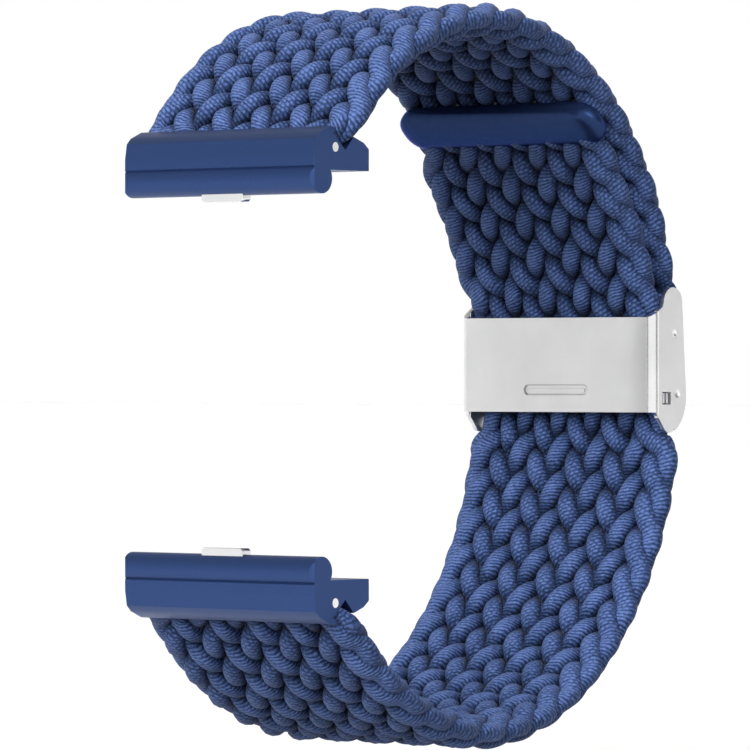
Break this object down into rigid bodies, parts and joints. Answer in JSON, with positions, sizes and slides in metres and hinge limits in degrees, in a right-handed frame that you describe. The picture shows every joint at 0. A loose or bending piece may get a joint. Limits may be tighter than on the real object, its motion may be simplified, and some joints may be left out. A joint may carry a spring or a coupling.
{
  "type": "braided watch band",
  "caption": "Flat braided nylon watch band closed in a loop: steel fold-down clamp clasp, capped sliding tail and slide-in lugs with push latches.",
  "frame": {"origin": "middle of the place where the watch case sits, halfway between the rails of the two lugs", "axes": "+X across the strap, to the wearer's side that the picture shows on the right; +Y from the watch through the wrist to the clasp; +Z from the lower lug to the upper lug"},
  "size_m": [0.0254, 0.057, 0.0709],
  "materials": {
    "strap_braid": "flat braid of round nylon strands, soft sheen",
    "lug_blue": "bead-blasted, anodised dark blue",
    "clasp_steel": "fine satin, polished at the bends",
    "lid_steel": "fine satin",
    "grip_steel": "plain rolled",
    "pin_steel": "polished",
    "cap_blue": "satin blue",
    "hidden_steel": "plain",
    "spring_steel": "tempered"
  },
  "bodies": {
    "short_strap": {"upper_strap": "strap_braid", "upper_lug": "lug_blue", "upper_lug_pin": "pin_steel", "upper_root_clip": "hidden_steel", "upper_latch_spring": "spring_steel"},
    "upper_latch": {"upper_latch": "pin_steel"},
    "clasp": {"clasp_base": "clasp_steel", "strap_bar": "pin_steel", "grip_plate": "grip_steel", "left_lid_pivot": "pin_steel", "right_lid_pivot": "pin_steel"},
    "lid": {"clasp_lid": "lid_steel"},
    "long_strap": {"lower_strap": "strap_braid", "tail_cap": "cap_blue", "tail_pin": "hidden_steel", "lower_lug": "lug_blue", "lower_lug_pin": "pin_steel", "lower_root_clip": "hidden_steel", "lower_latch_spring": "spring_steel"},
    "lower_latch": {"lower_latch": "pin_steel"}
  },
  "joints": [
    {"name": "clasp_swivel", "type": "hinge", "parent": "short_strap", "child": "clasp", "pos_m": [0, 0.05448, 0.00745], "axis": [1, 0, 0], "range_deg": [0, 12]},
    {"name": "lid_hinge", "type": "hinge", "parent": "clasp", "child": "lid", "pos_m": [0, 0.05395, 0.00415], "axis": [1, 0, 0], "range_deg": [0, 110]},
    {"name": "strap_slide", "type": "hinge", "parent": "clasp", "child": "long_strap", "pos_m": [0, 0.01758, -0.0015], "axis": [1, 0, 0], "range_deg": [-15, 4]},
    {"name": "upper_latch_press", "type": "slide", "parent": "short_strap", "child": "upper_latch", "axis": [0, 0, 1], "range_m": [0, 0.0006], "stiffness_N_per_m": 800, "springref_m": -0.0004, "deforming": ["upper_latch_spring"]},
    {"name": "lower_latch_press", "type": "slide", "parent": "long_strap", "child": "lower_latch", "axis": [0, 0, -1], "range_m": [0, 0.0006], "stiffness_N_per_m": 800, "springref_m": -0.0004, "deforming": ["lower_latch_spring"]}
  ]
}
